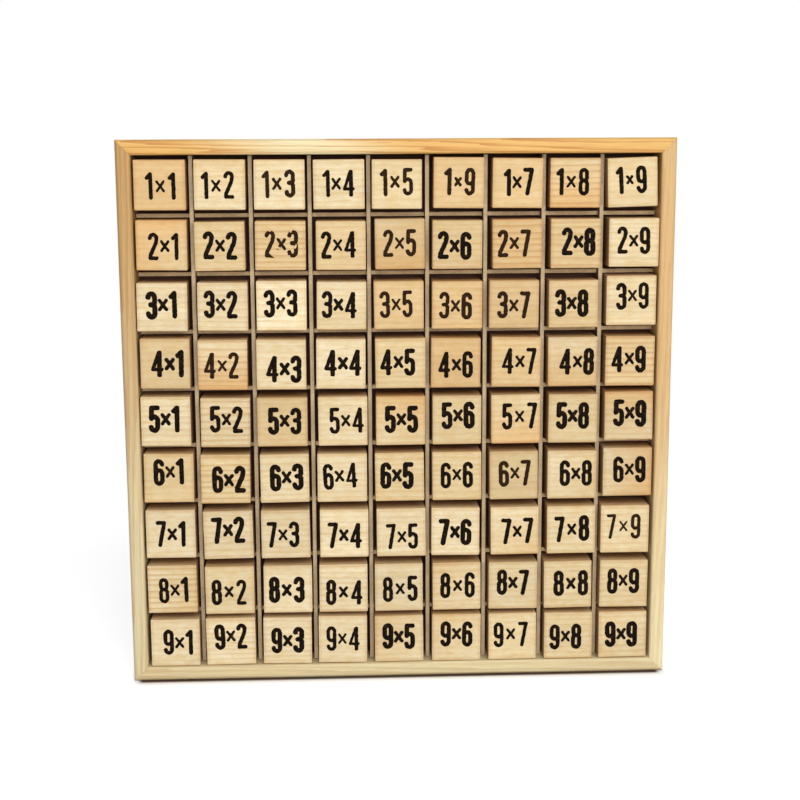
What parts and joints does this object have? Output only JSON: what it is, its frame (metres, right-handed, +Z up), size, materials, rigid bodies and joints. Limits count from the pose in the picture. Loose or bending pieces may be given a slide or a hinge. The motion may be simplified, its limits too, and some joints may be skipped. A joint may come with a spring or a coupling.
{
  "type": "multiplication board",
  "caption": "Square mitred wooden tray standing on edge, divided by half-lapped slats into a grid of cells, each with a loose wooden tile that lifts out towards the front.",
  "frame": {"origin": "under the middle of the bottom rail, halfway through the tray's depth", "axes": "+X to the right of the printed side, +Y from the printed side to the back, +Z up the board as it stands"},
  "size_m": [0.2202, 0.0186, 0.2202],
  "materials": {
    "rail_pine": "planed, clear satin",
    "panel_hardboard": "pressed hardboard",
    "slat_fibreboard": "raw sawn",
    "tile_wood": "sanded, unvarnished"
  },
  "bodies": {
    "tray": {"rail_bottom": "rail_pine", "rail_left": "rail_pine", "rail_top": "rail_pine", "rail_right": "rail_pine", "back_panel": "panel_hardboard", "row_slat_1": "slat_fibreboard", "row_slat_2": "slat_fibreboard", "row_slat_3": "slat_fibreboard", "row_slat_4": "slat_fibreboard", "row_slat_5": "slat_fibreboard", "row_slat_6": "slat_fibreboard", "row_slat_7": "slat_fibreboard", "row_slat_8": "slat_fibreboard", "column_slat_1": "slat_fibreboard", "column_slat_2": "slat_fibreboard", "column_slat_3": "slat_fibreboard", "column_slat_4": "slat_fibreboard", "column_slat_5": "slat_fibreboard", "column_slat_6": "slat_fibreboard", "column_slat_7": "slat_fibreboard", "column_slat_8": "slat_fibreboard"},
    "tile_1x1": {"tile_1x1": "tile_wood"},
    "tile_1x2": {"tile_1x2": "tile_wood"},
    "tile_1x3": {"tile_1x3": "tile_wood"},
    "tile_1x4": {"tile_1x4": "tile_wood"},
    "tile_1x5": {"tile_1x5": "tile_wood"},
    "tile_1x6": {"tile_1x6": "tile_wood"},
    "tile_1x7": {"tile_1x7": "tile_wood"},
    "tile_1x8": {"tile_1x8": "tile_wood"},
    "tile_1x9": {"tile_1x9": "tile_wood"},
    "tile_2x1": {"tile_2x1": "tile_wood"},
    "tile_2x2": {"tile_2x2": "tile_wood"},
    "tile_2x3": {"tile_2x3": "tile_wood"},
    "tile_2x4": {"tile_2x4": "tile_wood"},
    "tile_2x5": {"tile_2x5": "tile_wood"},
    "tile_2x6": {"tile_2x6": "tile_wood"},
    "tile_2x7": {"tile_2x7": "tile_wood"},
    "tile_2x8": {"tile_2x8": "tile_wood"},
    "tile_2x9": {"tile_2x9": "tile_wood"},
    "tile_3x1": {"tile_3x1": "tile_wood"},
    "tile_3x2": {"tile_3x2": "tile_wood"},
    "tile_3x3": {"tile_3x3": "tile_wood"},
    "tile_3x4": {"tile_3x4": "tile_wood"},
    "tile_3x5": {"tile_3x5": "tile_wood"},
    "tile_3x6": {"tile_3x6": "tile_wood"},
    "tile_3x7": {"tile_3x7": "tile_wood"},
    "tile_3x8": {"tile_3x8": "tile_wood"},
    "tile_3x9": {"tile_3x9": "tile_wood"},
    "tile_row_4": {"tile_row_4": "tile_wood"},
    "tile_row_5": {"tile_row_5": "tile_wood"},
    "tile_row_6": {"tile_row_6": "tile_wood"},
    "tile_row_7": {"tile_row_7": "tile_wood"},
    "tile_row_8": {"tile_row_8": "tile_wood"},
    "tile_row_9": {"tile_row_9": "tile_wood"}
  },
  "joints": [
    {"name": "lift_1x1", "type": "slide", "parent": "tray", "child": "tile_1x1", "axis": [0, -1, 0], "range_m": [0, 0.025]},
    {"name": "lift_1x2", "type": "slide", "parent": "tray", "child": "tile_1x2", "axis": [0, -1, 0], "range_m": [0, 0.025]},
    {"name": "lift_1x3", "type": "slide", "parent": "tray", "child": "tile_1x3", "axis": [0, -1, 0], "range_m": [0, 0.025]},
    {"name": "lift_1x4", "type": "slide", "parent": "tray", "child": "tile_1x4", "axis": [0, -1, 0], "range_m": [0, 0.025]},
    {"name": "lift_1x5", "type": "slide", "parent": "tray", "child": "tile_1x5", "axis": [0, -1, 0], "range_m": [0, 0.025]},
    {"name": "lift_1x6", "type": "slide", "parent": "tray", "child": "tile_1x6", "axis": [0, -1, 0], "range_m": [0, 0.025]},
    {"name": "lift_1x7", "type": "slide", "parent": "tray", "child": "tile_1x7", "axis": [0, -1, 0], "range_m": [0, 0.025]},
    {"name": "lift_1x8", "type": "slide", "parent": "tray", "child": "tile_1x8", "axis": [0, -1, 0], "range_m": [0, 0.025]},
    {"name": "lift_1x9", "type": "slide", "parent": "tray", "child": "tile_1x9", "axis": [0, -1, 0], "range_m": [0, 0.025]},
    {"name": "lift_2x1", "type": "slide", "parent": "tray", "child": "tile_2x1", "axis": [0, -1, 0], "range_m": [0, 0.025]},
    {"name": "lift_2x2", "type": "slide", "parent": "tray", "child": "tile_2x2", "axis": [0, -1, 0], "range_m": [0, 0.025]},
    {"name": "lift_2x3", "type": "slide", "parent": "tray", "child": "tile_2x3", "axis": [0, -1, 0], "range_m": [0, 0.025]},
    {"name": "lift_2x4", "type": "slide", "parent": "tray", "child": "tile_2x4", "axis": [0, -1, 0], "range_m": [0, 0.025]},
    {"name": "lift_2x5", "type": "slide", "parent": "tray", "child": "tile_2x5", "axis": [0, -1, 0], "range_m": [0, 0.025]},
    {"name": "lift_2x6", "type": "slide", "parent": "tray", "child": "tile_2x6", "axis": [0, -1, 0], "range_m": [0, 0.025]},
    {"name": "lift_2x7", "type": "slide", "parent": "tray", "child": "tile_2x7", "axis": [0, -1, 0], "range_m": [0, 0.025]},
    {"name": "lift_2x8", "type": "slide", "parent": "tray", "child": "tile_2x8", "axis": [0, -1, 0], "range_m": [0, 0.025]},
    {"name": "lift_2x9", "type": "slide", "parent": "tray", "child": "tile_2x9", "axis": [0, -1, 0], "range_m": [0, 0.025]},
    {"name": "lift_3x1", "type": "slide", "parent": "tray", "child": "tile_3x1", "axis": [0, -1, 0], "range_m": [0, 0.025]},
    {"name": "lift_3x2", "type": "slide", "parent": "tray", "child": "tile_3x2", "axis": [0, -1, 0], "range_m": [0, 0.025]},
    {"name": "lift_3x3", "type": "slide", "parent": "tray", "child": "tile_3x3", "axis": [0, -1, 0], "range_m": [0, 0.025]},
    {"name": "lift_3x4", "type": "slide", "parent": "tray", "child": "tile_3x4", "axis": [0, -1, 0], "range_m": [0, 0.025]},
    {"name": "lift_3x5", "type": "slide", "parent": "tray", "child": "tile_3x5", "axis": [0, -1, 0], "range_m": [0, 0.025]},
    {"name": "lift_3x6", "type": "slide", "parent": "tray", "child": "tile_3x6", "axis": [0, -1, 0], "range_m": [0, 0.025]},
    {"name": "lift_3x7", "type": "slide", "parent": "tray", "child": "tile_3x7", "axis": [0, -1, 0], "range_m": [0, 0.025]},
    {"name": "lift_3x8", "type": "slide", "parent": "tray", "child": "tile_3x8", "axis": [0, -1, 0], "range_m": [0, 0.025]},
    {"name": "lift_3x9", "type": "slide", "parent": "tray", "child": "tile_3x9", "axis": [0, -1, 0], "range_m": [0, 0.025]},
    {"name": "lift_row_4", "type": "slide", "parent": "tray", "child": "tile_row_4", "axis": [0, -1, 0], "range_m": [0, 0.025]},
    {"name": "lift_row_5", "type": "slide", "parent": "tray", "child": "tile_row_5", "axis": [0, -1, 0], "range_m": [0, 0.025]},
    {"name": "lift_row_6", "type": "slide", "parent": "tray", "child": "tile_row_6", "axis": [0, -1, 0], "range_m": [0, 0.025]},
    {"name": "lift_row_7", "type": "slide", "parent": "tray", "child": "tile_row_7", "axis": [0, -1, 0], "range_m": [0, 0.025]},
    {"name": "lift_row_8", "type": "slide", "parent": "tray", "child": "tile_row_8", "axis": [0, -1, 0], "range_m": [0, 0.025]},
    {"name": "lift_row_9", "type": "slide", "parent": "tray", "child": "tile_row_9", "axis": [0, -1, 0], "range_m": [0, 0.025]}
  ]
}
